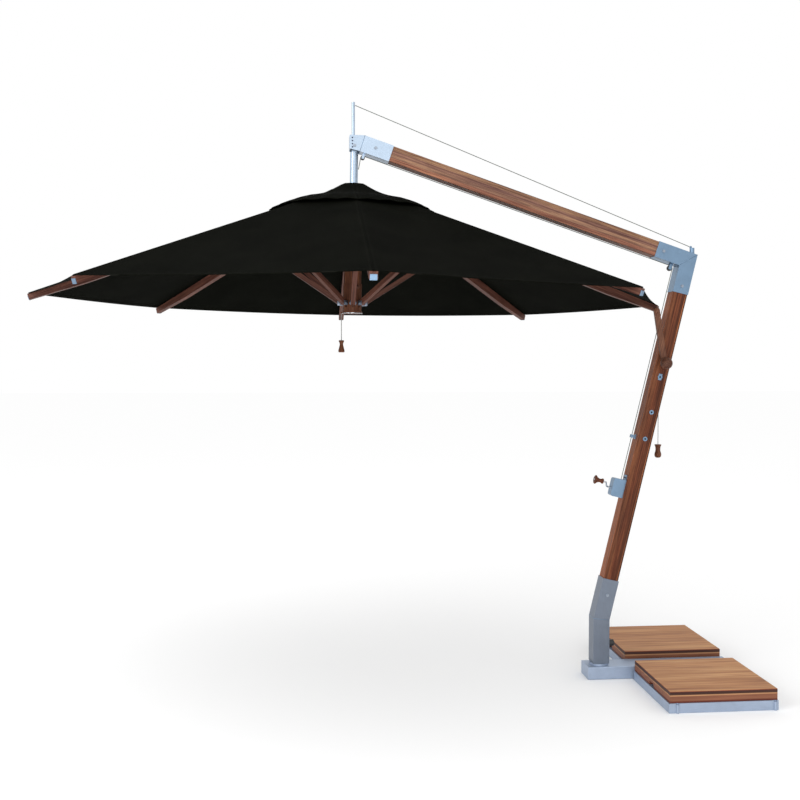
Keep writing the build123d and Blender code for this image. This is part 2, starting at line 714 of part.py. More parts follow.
def rib_upright():
    """A timber rib with its hub tongue and the knuckle its strut is pinned to."""
    plane, half = rib_plane(), RIB_DEPTH / 2
    foot = half - RIB_TIP_DEPTH
    outline = [(half, 26), (half, RIB_LEN), (foot, RIB_LEN), (-half, RIB_LEN - 300), (-half, 26)]
    body = slice_y([place(plane, x, z) for x, z in outline], (-RIB_WIDTH / 2, RIB_WIDTH / 2))
    body += in_plane(plane, (-14, 14), (-8, 8), (0, 27)) + cross_rod(place(plane, 0, 0), 14, (-8, 8))
    knuckle = [(1 - half, STRUT_AT - 15), (1 - half, STRUT_AT + 15), (-STRUT_DROP, STRUT_AT + 10), (-STRUT_DROP, STRUT_AT - 10)]
    body += slice_y([place(plane, x, z) for x, z in knuckle], (-6, 6))
    body += cross_rod(place(plane, -STRUT_DROP, STRUT_AT), 10, (-6, 6))
    body -= cross_rod(place(plane, 0, 0), PIN_R + RUN, (-9, 9))
    return body - cross_rod(place(plane, -STRUT_DROP, STRUT_AT), PIN_R + RUN, (-7, 7))


def strut_ends():
    """(X, Z) of a strut's outer pin and of its runner end, upright."""
    return place(rib_plane(), -STRUT_DROP, STRUT_AT), (HANG_X + RUNNER_PIVOT[0], RUNNER_PIVOT[1])


def strut_upright():
    """A timber strut, forked and pinned at the rib, rounded at the runner."""
    outer, inner = strut_ends()
    run = Vector(outer[0] - inner[0], 0, outer[1] - inner[1])
    plane = Plane(origin=(inner[0], 0, inner[1]), x_dir=(-run.Z, 0, run.X), z_dir=run)
    half, width = STRUT_DEPTH / 2, STRUT_WIDTH / 2
    body = in_plane(plane, (-half, half), (-width, width), (0, run.length))
    body += cross_rod(outer, half, (-width, width)) + cross_rod(inner, half, (-width, width))
    body -= in_plane(plane, (-30, 30), (-6.5, 6.5), (run.length - 27, run.length + 30))
    return body + cross_rod(outer, PIN_R, (-width, width))


def lower_hub():
    """A turned hub with a shallow recess per strut and an eyelet for the pull cord."""
    hub = hang_rod(HUB_R, HUB_Z) + hang_rod(HUB_R + 3.5, (HUB_Z[0], HUB_Z[0] + 11))
    hub -= hang_rod(LIFT_R, (HUB_Z[0] - 1, TUBE_Z[0] - 4)) + hang_rod(TUBE_R + RUN, (TUBE_Z[0] - 4, HUB_Z[1] + 1))
    recess = block((HANG_X + HUB_R - 10, HANG_X + 80), (-8, 8), (2112, 2154))
    for cut in spread(recess):
        hub -= cut
    lug = block((HANG_X - 72, HANG_X - HUB_R), (-3, 3), (HUB_Z[0] + 1, HUB_Z[0] + 7))
    return leaned(hub + lug.rotate(Axis((HANG_X, 0, 0), (0, 0, 1)), 22.5))


def pole_sleeve():
    z = (HUB_Z[1], POLE_TOP_Z)
    return leaned(hang_rod(POLE_R, z) - hang_rod(TUBE_R + RUN, (z[0] - 1, z[1] + 1)))


def lift_tube():
    z = (HUB_Z[0] + 2, LIFT_TOP_Z)
    return leaned(hang_rod(LIFT_R, z) - hang_rod(LIFT_R - 2, (z[0] - 1, z[1] + 1)))


def latch_axis(shape):
    """Turns a shape drawn on +X to the latch's side of the hub."""
    return leaned(shape.rotate(Axis((HANG_X, 0, 0), (0, 0, 1)), -67.5))


def latch_knob():
    z = LATCH_Z
    stem = rod((HANG_X + POLE_R - 11, 0, z), (HANG_X + HUB_R + 6, 0, z), 4)
    return latch_axis(stem + Pos(HANG_X + HUB_R + 12, 0, z) * Sphere(10))


def latch_bore():
    z = LATCH_Z
    return latch_axis(rod((HANG_X + POLE_R - 12, 0, z), (HANG_X + 80, 0, z), 4 + RUN))


# ---- cloth --------------------------------------------------------------------------------
def canopy():
    inner_z = RIM_Z + (CANOPY_R - CROWN_R) * RISE
    return leaned(cone_sheet((CROWN_R, inner_z), (CANOPY_R, RIM_Z)))


def vent_cap():
    sheet = cone_sheet((CAP_R, VENT_TOP_Z), (VENT_R, VENT_Z))
    top = extrude(octagon(CAP_R, VENT_TOP_Z - CLOTH), CLOTH)
    return leaned(sheet + top - hang_rod(TUBE_R + 1, (2700, 2900)))


def save(name, shapes):
    """One STEP file per node; several solids stay separate inside it."""
    solids = shapes if isinstance(shapes, list) else [shapes]
    export_step(Compound(children=solids) if len(solids) > 1 else solids[0], f"parts/{name}.step")


def parts():
    """Every node's name and its solids."""
    elbow_spot, end_spot = pulley_spots()
    yield "base_beam", base_beam()
    yield "swivel_spigot", swivel_spigot()
    yield "tray_frames", [tray(1), tray(-1)]
    yield "tray_bolts", tray_bolts()
    yield "weight_slabs", weight_slabs()
    yield "cover_front", cover(-1)
    yield "cover_rear", cover(1)
    yield "mast_socket", mast_socket()
    yield "swivel_bushes", swivel_bushes()
    yield "lock_knob", lock_knob()
    yield "mast_timber", mast_timber()
    yield "tilt_inserts", tilt_inserts()
    yield "elbow_bracket", elbow_bracket()
    yield "boom_timber", boom_timber()
    yield "boom_end_sleeve", boom_end_sleeve()
    yield "frame_bolts", frame_bolts()
    yield "small_screws", small_screws()
    yield "spur_rod", spur_rod()
    yield "stay_anchor", stay_anchor()
    yield "stay_cable", stay_cable()
    yield "lift_cable", lift_cable()
    yield "elbow_pulley", pulley(elbow_spot, PULLEY_R)
    yield "boom_pulley", pulley(end_spot, PULLEY_END_R)
    yield "cable_guide", cable_guide()
    yield "winch_housing", winch_housing()
    yield "winch_drum", winch_drum()
    yield "crank_arm", crank_arm()
    yield "crank_knob", crank_knob()
    yield "clamp_knob", clamp_knob()
    yield "stabiliser_arm", stabiliser_arm()
    yield "mast_cord", hanging_cord(MAST_CORD, MAST_CORD_Z)
    yield "mast_toggle", mast_toggle()
    yield "hub_cord", hanging_cord(HUB_CORD, HUB_CORD_Z)
    yield "hub_toggle", hub_toggle()
    yield "hanger_tube", hanger_tube()
    yield "upper_hub", upper_hub()
    yield "lower_hub", lower_hub() - latch_bore()
    yield "pole_sleeve", pole_sleeve()
    yield "lift_tube", lift_tube()
    yield "latch_knob", latch_knob()
    yield "canopy", canopy()
    yield "vent_cap", vent_cap()
    rib, strut = rib_upright(), strut_upright()
    for k in range(SIDES):
        yield f"rib_{k + 1}", around(rib, k)
        yield f"strut_{k + 1}", around(strut, k)


os.makedirs("parts", exist_ok=True)
for part_name, part_shapes in parts():
    save(part_name, part_shapes)
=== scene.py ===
from math import cos, pi, radians, sin, tan
import bmesh
import bpy
from mathutils import Matrix, Vector


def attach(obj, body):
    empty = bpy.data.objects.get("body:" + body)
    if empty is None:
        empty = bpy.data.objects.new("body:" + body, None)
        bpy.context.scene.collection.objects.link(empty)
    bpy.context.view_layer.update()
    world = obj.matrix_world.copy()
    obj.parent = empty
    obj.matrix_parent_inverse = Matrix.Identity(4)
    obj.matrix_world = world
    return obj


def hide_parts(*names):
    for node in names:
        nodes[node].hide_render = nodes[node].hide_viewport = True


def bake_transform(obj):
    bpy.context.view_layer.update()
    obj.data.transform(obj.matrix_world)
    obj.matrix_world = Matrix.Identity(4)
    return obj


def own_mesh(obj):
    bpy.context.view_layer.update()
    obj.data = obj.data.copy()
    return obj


# Cantilever patio umbrella, in metres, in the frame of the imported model.
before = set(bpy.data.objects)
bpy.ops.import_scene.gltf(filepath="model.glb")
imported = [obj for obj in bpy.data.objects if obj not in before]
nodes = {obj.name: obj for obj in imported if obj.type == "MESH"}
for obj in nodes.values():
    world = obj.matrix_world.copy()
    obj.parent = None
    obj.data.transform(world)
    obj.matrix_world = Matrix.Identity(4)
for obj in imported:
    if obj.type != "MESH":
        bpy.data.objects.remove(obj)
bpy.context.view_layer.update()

# ---- dimensions ---------------------------------------------------------------------------
SIDES = 8
HALF_SIDE = pi / SIDES
# A point at share s of half a panel is at (rho * (1 - PINCH * s), SPREAD * rho * s).
PINCH = sin(HALF_SIDE) ** 2
SPREAD = sin(HALF_SIDE) * cos(HALF_SIDE)
HANGER = Vector((-1.407, 0, 2.998))
REST_TILT = radians(0.8)
SLOPE = radians(20.1)
CANOPY_R = 1.750
RIM_Z = 2.158
CROWN_R = 0.300
CLOTH = 0.0014
HEM = 0.028
HEM_CLOTH = 0.0032
VENT_IN = (0.0695, 2.791)
VENT_OUT = (0.465, 2.640)
VENT_FROM = 0.120
VENT_SAG = 0.015
VENT_SAG_TO = 0.66
VENT_SWELL = 0.004
TUBE_HOLE = 0.0235
CROWN_ROWS = [TUBE_HOLE, 0.045, VENT_IN[0], 0.080, 0.092, 0.106, VENT_FROM]
RIB_PIVOT_R = 0.065
RIB_DROP = 0.028
RIB_TIP_R = 1.745
RIB_HALF = 0.0132
STRUT_PIN = (0.607, -0.038)
RUNNER_PIN = (0.066, 2.135)
EAR = 0.0155
EAR_X = (0.0535, 0.0835)
EAR_Z = (2.1225, 2.1475)
PIN_HEAD = [(0.0085, 0.0), (0.0085, 0.001), (0.007, 0.003), (0.004, 0.0042), (0.0005, 0.0045)]
RING = [(0.0545, 2.0775), (0.0565, 2.0785), (0.0565, 2.0815), (0.0552, 2.0825)]
SEAM_SHAPE = [
    (-0.007, -0.0012),
    (-0.006, 0.0006),
    (0.0, 0.0016),
    (0.006, 0.0006),
    (0.007, -0.0012),
    (0.0, -0.001),
]

MAST_LEAN = radians(13.5)
BOOM_RISE = radians(18.5)
BEND_Z = 0.340
CORNER_Z = 2.390
POST = 0.094
SLEEVE = 0.091
SLEEVE_END = 1.957
WELD_R = 0.0013
EYE_R = 0.005
EYE_WIRE_R = 0.0015

TIMBER = 0.086
# Glued strips: where each starts, as a share of the timber's depth, and its shade. On the mast the first
# band covers the left side face and is lightened there as a painted highlight.
MAST_STRIPS_AND_LIT_SIDE = [
    # painted highlight: this band lightens the mast's left side face as if lit
    (0.0, (1.8, 1.6, 1.4)),
    (0.012, (1.0, 0.95, 0.95)),
    (0.32, (0.45, 0.36, 0.36)),
    (0.335, (0.85, 0.70, 0.70)),
    (0.66, (0.60, 0.50, 0.50)),
    (0.86, (1.40, 1.35, 1.30)),
    (0.92, (0.42, 0.38, 0.38)),
]
BOOM_STRIPS = [
    (0.0, (1.1, 0.90, 0.84)),
    (0.245, (0.6, 0.5, 0.55)),
    (0.26, (1.05, 1.08, 1.05)),
    (0.50, (0.85, 0.82, 0.9)),
    (0.73, (1.1, 1.15, 1.0)),
    (0.96, (0.55, 0.42, 0.42)),
]

MAST_CORD = (0.357, 0.050)
MAST_CORD_Z = (1.332, 1.716)
HUB_CORD = (-1.481, -0.026)
HUB_CORD_Z = (1.930, 2.078)
CORD_DIAMETER = 0.004

CAMERA_PLACE = (-1.683, -5.621, 1.794)
CAMERA_LENS = 45.32
CAMERA_DOWN = 0.035
CAMERA_RIGHT = 0.0941
FLOOR_HALF = 60.0
FLOOR_Z = -0.001

# ---- placing ------------------------------------------------------------------------------
LEANED = Matrix.Translation(HANGER) @ Matrix.Rotation(REST_TILT, 4, "Y") @ Matrix.Translation(-HANGER)
CORNER = Vector(((CORNER_Z - BEND_Z) * tan(MAST_LEAN), 0, CORNER_Z))
MAST_UP = Vector((sin(MAST_LEAN), 0, cos(MAST_LEAN)))
MAST_RIGHT = Vector((cos(MAST_LEAN), 0, -sin(MAST_LEAN)))
BOOM_OUT = Vector((-cos(BOOM_RISE), 0, sin(BOOM_RISE)))
BOOM_UP = Vector((sin(BOOM_RISE), 0, cos(BOOM_RISE)))


def side_matrix(k):
    """Row frame of side k: local X runs out from the hanger's axis along rib k."""
    turn = Matrix.Rotation(2 * HALF_SIDE * k, 4, "Z")
    return LEANED @ Matrix.Translation((HANGER.x, 0, 0)) @ turn


def canopy_z(rho):
    return RIM_Z + (CANOPY_R - rho) * tan(SLOPE)


def vent_z(rho):
    fall = (VENT_IN[1] - VENT_OUT[1]) / (VENT_OUT[0] - VENT_IN[0])
    return VENT_IN[1] - max(rho - VENT_IN[0], 0) * fall


def rib_point(along, up, across=0.0):
    """A point of a rib in its side's frame, from its pin: along the rib and up off it."""
    pin_z = canopy_z(RIB_PIVOT_R) - RIB_DROP / cos(SLOPE)
    x = RIB_PIVOT_R + along * cos(SLOPE) + up * sin(SLOPE)
    return Vector((x, across, pin_z - along * sin(SLOPE) + up * cos(SLOPE)))


# ---- camera, light and floor --------------------------------------------------------------
def add_camera():
    data = bpy.data.cameras.new("camera")
    data.lens = CAMERA_LENS
    data.sensor_width = 36
    camera = bpy.data.objects.new("camera", data)
    camera.location = CAMERA_PLACE
    camera.rotation_euler = (pi / 2 - CAMERA_DOWN, 0, -CAMERA_RIGHT)
    bpy.context.collection.objects.link(camera)
    bpy.context.scene.camera = camera


def add_area_light(name, place, target, size, power):
    data = bpy.data.lights.new(name, "AREA")
    data.size = size
    data.energy = power
    light = bpy.data.objects.new(name, data)
    light.location = place
    aim = Vector(target) - Vector(place)
    light.rotation_euler = aim.to_track_quat("-Z", "Y").to_euler()
    bpy.context.collection.objects.link(light)


def add_world():
    world = bpy.data.worlds.new("studio")
    world.use_nodes = True
    background = world.node_tree.nodes["Background"]
    background.inputs["Color"].default_value = (1, 1, 1, 1)
    background.inputs["Strength"].default_value = 1.0
    bpy.context.scene.world = world
    bpy.context.scene.view_settings.view_transform = "Standard"


def add_floor():
    mesh = bpy.data.meshes.new("floor")
    signs = ((-1, -1), (1, -1), (1, 1), (-1, 1))
    corners = [(x * FLOOR_HALF, y * FLOOR_HALF, FLOOR_Z) for x, y in signs]
    mesh.from_pydata(corners, [], [(0, 1, 2, 3)])
    floor = bpy.data.objects.new("floor", mesh)
    bpy.context.collection.objects.link(floor)
    shader = Shader("floor_white")
    shader.set("Base Color", (0.985, 0.985, 0.985, 1))
    shader.set("Roughness", 1.0)
    shader.set("Specular IOR Level", 0.0)
    mesh.materials.append(shader.material)


# ---- materials ----------------------------------------------------------------------------
class Shader:
    """A node material under construction."""

    def __init__(self, name):
        self.material = bpy.data.materials.new(name)
        self.material.use_nodes = True
        self.tree = self.material.node_tree
        self.surface = self.tree.nodes["Principled BSDF"]

    def set(self, socket, value):
        self.surface.inputs[socket].default_value = value

    def link(self, output, socket):
        self.tree.links.new(output, self.surface.inputs[socket])

    def node(self, kind, inputs=(), **settings):
        """A node with its settings; inputs pairs a socket with a value or an output."""
        made = self.tree.nodes.new(kind)
        for key, value in settings.items():
            setattr(made, key, value)
        for key, value in inputs:
            if isinstance(value, bpy.types.NodeSocket):
                self.tree.links.new(value, made.inputs[key])
            else:
                made.inputs[key].default_value = value
        return made

    def math(self, operation, a, b=0.0):
        return self.node("ShaderNodeMath", [(0, a), (1, b)], operation=operation).outputs[0]

    def where(self, output="Object"):
        return self.node("ShaderNodeTexCoord").outputs[output]

    def along(self, axis):
        """Distance along an axis of the row frame."""
        inputs = [(0, self.where()), (1, axis)]
        return self.node("ShaderNodeVectorMath", inputs, operation="DOT_PRODUCT").outputs["Value"]

    def vector(self, x, y, z):
        return self.node("ShaderNodeCombineXYZ", [(0, x), (1, y), (2, z)]).outputs[0]

    def noise(self, vector, scale, detail=4.0, roughness=0.6):
        inputs = [("Vector", vector), ("Scale", scale), ("Detail", detail), ("Roughness", roughness)]
        return self.node("ShaderNodeTexNoise", inputs).outputs["Fac"]

    def ramp(self, value, stops, interpolation="LINEAR"):
        made = self.node("ShaderNodeValToRGB", [("Fac", value)])
        made.color_ramp.interpolation = interpolation
        elements = made.color_ramp.elements
        while len(elements) < len(stops):
            elements.new(0.5)
        for element, (place, colour) in zip(elements, stops):
            element.position = place
            element.color = (*colour, 1)
        return made.outputs["Color"]

    def mix(self, amount, a, b, blend="MIX"):
        made = self.node("ShaderNodeMix", data_type="RGBA", blend_type=blend)
        for socket, value in ((made.inputs[0], amount), (made.inputs[6], a), (made.inputs[7], b)):
            if isinstance(value, bpy.types.NodeSocket):
                self.tree.links.new(value, socket)
            else:
                socket.default_value = value if isinstance(value, float) else (*value, 1)
        return made.outputs[2]

    def bump(self, height, strength, distance):
        inputs = [("Height", height), ("Strength", strength), ("Distance", distance)]
        self.link(self.node("ShaderNodeBump", inputs).outputs["Normal"], "Normal")


def grain_axes(direction):
    """Three axes of a timber: along the grain, across it in the upright plane, and sideways."""
    along = Vector(direction).normalized()
    side = Vector((0, 1, 0)) if abs(along.y) < 0.9 else Vector((1, 0, 0))
    across = along.cross(side).normalized()
    return along, across, along.cross(across)


def wood(name, direction, dark, light, layers=None, rough=0.5):
    """Oiled hardwood with grain along a direction; layers gives where glued strips start and their tones,
    and for the mast also a painted highlight on its left side face.
    """
    shader = Shader(name)
    u, v, w = (shader.along(axis) for axis in grain_axes(direction))
    stretched = shader.vector(shader.math("MULTIPLY", u, 0.05), v, w)
    streaks = shader.noise(stretched, 55.0, 6.0, 0.65)
    pores = shader.noise(shader.vector(shader.math("MULTIPLY", u, 0.04), v, w), 420.0, 3.0, 0.5)
    clouds = shader.noise(shader.where(), 7.0, 3.0, 0.5)
    mid = tuple((a + b) / 2 for a, b in zip(dark, light))
    colour = shader.ramp(streaks, [(0.28, dark), (0.5, mid), (0.72, light)])
    colour = shader.mix(shader.math("MULTIPLY", clouds, 0.35), colour, mid)
    if layers:
        # The strip tones multiply the colour; on the mast the first band is a painted highlight on the
        # left side face.
        start, width, strip_and_lit_side_tones = layers
        place = shader.math("DIVIDE", shader.math("SUBTRACT", start, v), width)
        colour = shader.mix(1.0, colour, shader.ramp(place, strip_and_lit_side_tones, "CONSTANT"), "MULTIPLY")
    fine = shader.noise(shader.vector(shader.math("MULTIPLY", u, 0.02), v, w), 170.0, 3.0, 0.6)
    stripes = [(0.38, (0.50, 0.42, 0.42)), (0.5, (1.0, 1.0, 1.0)), (0.62, (1.4, 1.45, 1.35))]
    fine_shade = shader.ramp(fine, stripes)
    colour = shader.mix(0.8, colour, fine_shade, "MULTIPLY")
    pore_shade = shader.ramp(pores, [(0.36, (0.62, 0.58, 0.56)), (0.5, (1.0, 1.0, 1.0))])
    colour = shader.mix(0.7, colour, pore_shade, "MULTIPLY")
    shader.link(colour, "Base Color")
    shader.link(shader.math("ADD", shader.math("MULTIPLY", streaks, 0.2), rough - 0.1), "Roughness")
    shader.bump(shader.math("ADD", streaks, shader.math("MULTIPLY", pores, 0.6)), 0.25, 0.0006)
    shader.set("Specular IOR Level", 0.14)
    return shader.material


def cover_wood():
    """Cover boards: pale tops, and edges that show layers of light and dark veneer."""
    shader = Shader("board_wood")
    x, y, z = (shader.along(axis) for axis in ((1, 0, 0), (0, 1, 0), (0, 0, 1)))
    stretched = shader.vector(shader.math("MULTIPLY", x, 0.06), y, shader.math("MULTIPLY", z, 2.0))
    streaks = shader.noise(stretched, 42.0, 6.0, 0.62)
    wide = shader.noise(shader.vector(shader.math("MULTIPLY", x, 0.12), y, z), 9.0, 3.0, 0.5)
    blend = shader.math("ADD", shader.math("MULTIPLY", streaks, 0.6), shader.math("MULTIPLY", wide, 0.4))
    tans = [(0.34, (0.24, 0.090, 0.034)), (0.5, (0.42, 0.190, 0.075)), (0.66, (0.56, 0.31, 0.14))]
    top = shader.ramp(blend, tans)
    lines = shader.noise(shader.vector(shader.math("MULTIPLY", x, 0.02), y, z), 150.0, 2.0, 0.5)
    line_shade = shader.ramp(lines, [(0.40, (0.72, 0.66, 0.62)), (0.52, (1.0, 1.0, 1.0))])
    top = shader.mix(0.7, top, line_shade, "MULTIPLY")
    wobble = shader.math("MULTIPLY", shader.math("SUBTRACT", wide, 0.5), 0.006)
    level = shader.math("DIVIDE", shader.math("SUBTRACT", shader.math("ADD", z, wobble), 0.051), 0.060)
    dark, brown = (0.050, 0.022, 0.017), (0.19, 0.078, 0.045)
    pale, red = (0.34, 0.18, 0.09), (0.11, 0.03, 0.02)
    layers = [(0.0, red), (0.12, red), (0.18, brown), (0.56, brown), (0.60, pale), (0.66, pale)]
    layers += [(0.70, dark), (0.93, dark), (0.97, (0.20, 0.05, 0.03))]
    grain = shader.ramp(streaks, [(0.35, (0.7, 0.65, 0.62)), (0.65, (1.3, 1.25, 1.2))])
    layered = shader.mix(0.8, shader.ramp(level, layers), grain, "MULTIPLY")
    normal = shader.node("ShaderNodeNewGeometry").outputs["Normal"]
    upward = shader.node("ShaderNodeSeparateXYZ", [(0, normal)]).outputs[2]
    is_top = shader.math("GREATER_THAN", upward, 0.6)
    shader.link(shader.mix(is_top, layered, top), "Base Color")
    shader.link(shader.math("ADD", shader.math("MULTIPLY", streaks, 0.2), 0.42), "Roughness")
    shader.bump(streaks, 0.2, 0.0006)
    shader.set("Specular IOR Level", 0.15)
    return shader.material


def metal(name, direction, colour, rough, metallic=0.75):
    """Brushed or satin metal with fine lines along a direction and faint smudges."""
    shader = Shader(name)
    u, v, w = (shader.along(axis) for axis in grain_axes(direction))
    lines = shader.noise(shader.vector(shader.math("MULTIPLY", u, 0.02), v, w), 900.0, 2.0, 0.5)
    smudge = shader.noise(shader.where(), 14.0, 4.0, 0.6)
    deep = tuple(c * 0.82 for c in colour)
    tone = shader.math("ADD", shader.math("MULTIPLY", lines, 0.5), shader.math("MULTIPLY", smudge, 0.5))
    shader.link(shader.ramp(tone, [(0.35, deep), (0.65, colour)]), "Base Color")
    shader.link(shader.math("ADD", shader.math("MULTIPLY", tone, 0.24), rough - 0.12), "Roughness")
    shader.bump(lines, 0.12, 0.0002)
    shader.set("Metallic", metallic)
    return shader.material


def plastic(name, colour, rough):
    shader = Shader(name)
    speckle = shader.noise(shader.where(), 900.0, 2.0, 0.5)
    lighter = tuple(c * 1.35 + 0.003 for c in colour)
    shader.link(shader.ramp(speckle, [(0.3, colour), (0.7, lighter)]), "Base Color")
    shader.link(shader.math("ADD", shader.math("MULTIPLY", speckle, 0.15), rough - 0.07), "Roughness")
    shader.bump(speckle, 0.15, 0.0002)
    return shader.material


def woven(shader, u, v, pitch):
    """Height of a plain weave, from two distances in metres."""
    warp = shader.math("SINE", shader.math("MULTIPLY", u, 2 * pi / pitch))
    weft = shader.math("SINE", shader.math("MULTIPLY", v, 2 * pi / pitch))
    return shader.math("MULTIPLY", warp, weft)


def stitch_rows(shader, across, along, rows):
    """1 on the dashes of rows of thread at the given distances."""
    dash = shader.math("LESS_THAN", shader.math("FRACT", shader.math("DIVIDE", along, 0.006)), 0.68)
    total = 0.0
    for row in rows:
        offset = shader.math("ABSOLUTE", shader.math("SUBTRACT", across, row))
        near = shader.math("LESS_THAN", offset, 0.0007)
        total = shader.math("MAXIMUM", shader.math("MULTIPLY", near, dash), total)
    return total


def canopy_cloth():
    """Near-black woven acrylic with sewn seams; its UV is metres across and from the hem."""
    shader = Shader("canopy_cloth")
    uv = shader.node("ShaderNodeSeparateXYZ", [(0, shader.where("UV"))])
    u, v = uv.outputs[0], uv.outputs[1]
    weave = woven(shader, u, v, 0.0016)
    tone = shader.noise(shader.where(), 5.0, 4.0, 0.6)
    dark, light = (0.0022, 0.0025, 0.0016), (0.0042, 0.0046, 0.0031)
    colour = shader.ramp(tone, [(0.3, dark), (0.7, light)])
    flecks = shader.ramp(weave, [(0.1, (0.8, 0.8, 0.8)), (0.9, (1.25, 1.25, 1.2))])
    colour = shader.mix(0.8, colour, flecks, "MULTIPLY")
    hem = stitch_rows(shader, v, u, (0.005, 0.024))
    seam = stitch_rows(shader, shader.math("ABSOLUTE", u), v, (0.009, 0.013))
    thread = shader.math("MAXIMUM", hem, seam)
    shader.link(shader.mix(thread, colour, (0.010, 0.010, 0.008)), "Base Color")
    height = shader.math("ADD", weave, shader.math("MULTIPLY", thread, 3.0))
    shader.bump(height, 0.3, 0.0004)
    shader.set("Roughness", 0.92)
    shader.set("Specular IOR Level", 0.015)
    return shader.material


def cord_cloth():
    shader = Shader("cord_cloth")
    x, y, z = (shader.along(axis) for axis in ((1, 0, 0), (0, 1, 0), (0, 0, 1)))
    diagonal = shader.math("ADD", z, shader.math("ADD", x, y))
    twist = shader.math("SINE", shader.math("MULTIPLY", diagonal, 2400.0))
    colour = shader.ramp(twist, [(0.1, (0.20, 0.20, 0.19)), (0.9, (0.42, 0.42, 0.40))])
    shader.link(colour, "Base Color")
    shader.bump(twist, 0.5, 0.0004)
    shader.set("Roughness", 0.85)
    return shader.material


def new_object(name, data, material):
    """An object with its material."""
    piece = bpy.data.objects.new(name, data)
    bpy.context.collection.objects.link(piece)
    data.materials.append(material)
    return piece


def finish_mesh(name, build, material, matrix=None, bevel=0.0):
    """An object from a bmesh: moved by matrix, bevelled, and smooth but for sharp edges."""
    if bevel:
        sharp = [e for e in build.edges if len(e.link_faces) == 2 and e.calc_face_angle(0) > 0.6]
        bmesh.ops.bevel(build, geom=sharp, offset=bevel, segments=2, affect="EDGES", profile=0.6)
    bmesh.ops.recalc_face_normals(build, faces=build.faces)
    if matrix is not None:
        build.transform(matrix)
    for face in build.faces:
        face.smooth = True
    for edge in build.edges:
        if len(edge.link_faces) != 2 or edge.calc_face_angle(0) > 0.7:
            edge.smooth = False
    mesh = bpy.data.meshes.new(name)
    build.to_mesh(mesh)
    build.free()
    return new_object(name, mesh, material)


def box_mesh(build, low, high):
    """Adds a box between two corners."""
    made = bmesh.ops.create_cube(build, size=1.0)
    size = [b - a for a, b in zip(low, high)]
    middle = [(a + b) / 2 for a, b in zip(low, high)]
    for vertex in made["verts"]:
        vertex.co = Vector(m + c * s for m, c, s in zip(middle, vertex.co, size))


def join_rings(build, rings, closed=False):
    """Joins rings of vertices with faces, and either caps the ends or closes the loop."""
    for low, high in zip(rings, rings[1:] + rings[:1] if closed else rings[1:]):
        for j in range(len(low)):
            n = (j + 1) % len(low)
            build.faces.new((low[j], low[n], high[n], high[j]))
    if not closed:
        build.faces.new(rings[0][::-1])
        build.faces.new(rings[-1])


def lathe_mesh(build, profile, matrix, steps=32, closed=False):
    """Adds a turned shape from (radius, height) pairs about Z, then moved by matrix."""
    rings = []
    for radius, height in profile:
        turns = [2 * pi * i / steps for i in range(steps)]
        circle = [Vector((radius * cos(t), radius * sin(t), height)) for t in turns]
        rings.append([build.verts.new(matrix @ point) for point in circle])
    join_rings(build, rings, closed)


def loop_bead(name, points, radius, material, body):
    """A closed round bead, such as a weld, through points."""
    data = bpy.data.curves.new(name, "CURVE")
    data.dimensions = "3D"
    data.bevel_depth = radius
    data.bevel_resolution = 3
    spline = data.splines.new("POLY")
    spline.points.add(len(points) - 1)
    for point, place in zip(spline.points, points):
        point.co = (*place, 1)
    spline.use_cyclic_u = True
    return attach(new_object(name, data, material), body)


# ---- pull cords ---------------------------------------------------------------------------
def pull_cord(name, spot, heights, body, material):
    """A thin cord that hangs straight down from its eye to its toggle."""
    data = bpy.data.curves.new(name, "CURVE")
    data.dimensions = "3D"
    data.bevel_depth = CORD_DIAMETER / 2
    data.bevel_resolution = 3
    low, high = heights
    spline = data.splines.new("NURBS")
    route = [high, high - 0.03, (low + high) / 2, low + 0.03, low]
    spline.points.add(len(route) - 1)
    for point, z in zip(spline.points, route):
        point.co = (*spot, z, 1)
    spline.order_u = 3
    spline.use_endpoint_u = True
    piece = new_object(name, data, material)
    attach(piece, body)
    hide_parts(name.replace("_line", ""))


# ---- canopy cloth -------------------------------------------------------------------------
def sheet_rows(start, end, count, hem):
    """Distances from the hanger's axis, with close rows where the hem is folded."""
    rows = [start + (end - start) * i / count for i in range(count)]
    if hem:
        rows = [r for r in rows if r < end - hem - 0.004] + [end - hem - 0.001, end - hem, end - 0.002]
    return rows + [end]


def cloth_mesh(name, rows, columns, point, thickness, sign, material, matrix, hem_at):
    """A closed thin sheet on one side of a rib; point(rho, s) gives its top surface."""
    build = bmesh.new()
    layer = build.loops.layers.uv.new("metres")
    grid = {}
    for i, rho in enumerate(rows):
        for j in range(columns + 1):
            top = point(rho, j / columns)
            grid[i, j, 0] = build.verts.new((top.x, sign * top.y, top.z))
            grid[i, j, 1] = build.verts.new((top.x, sign * top.y, top.z - thickness(rho)))
    last = len(rows) - 1
    for i in range(last):
        for j in range(columns):
            cell = [(i, j), (i + 1, j), (i + 1, j + 1), (i, j + 1)]
            build.faces.new([grid[a, b, 0] for a, b in cell])
            build.faces.new([grid[a, b, 1] for a, b in reversed(cell)])
    edge = [(i, 0) for i in range(last)] + [(last, j) for j in range(columns)]
    edge += [(i, columns) for i in range(last, 0, -1)] + [(0, j) for j in range(columns, 0, -1)]
    for a, b in zip(edge, edge[1:] + edge[:1]):
        build.faces.new((grid[*a, 1], grid[*b, 1], grid[*b, 0], grid[*a, 0]))
    for face in build.faces:
        for corner in face.loops:
            co = corner.vert.co
            corner[layer].uv = (co.y, (hem_at - co.x - abs(co.y) * tan(HALF_SIDE)) / cos(SLOPE))
    return finish_mesh(name, build, material, matrix)


def bow(s):
    """0 on the rib and 1 at mid-panel, level there so that neighbours meet smoothly."""
    return s * (2 - s)


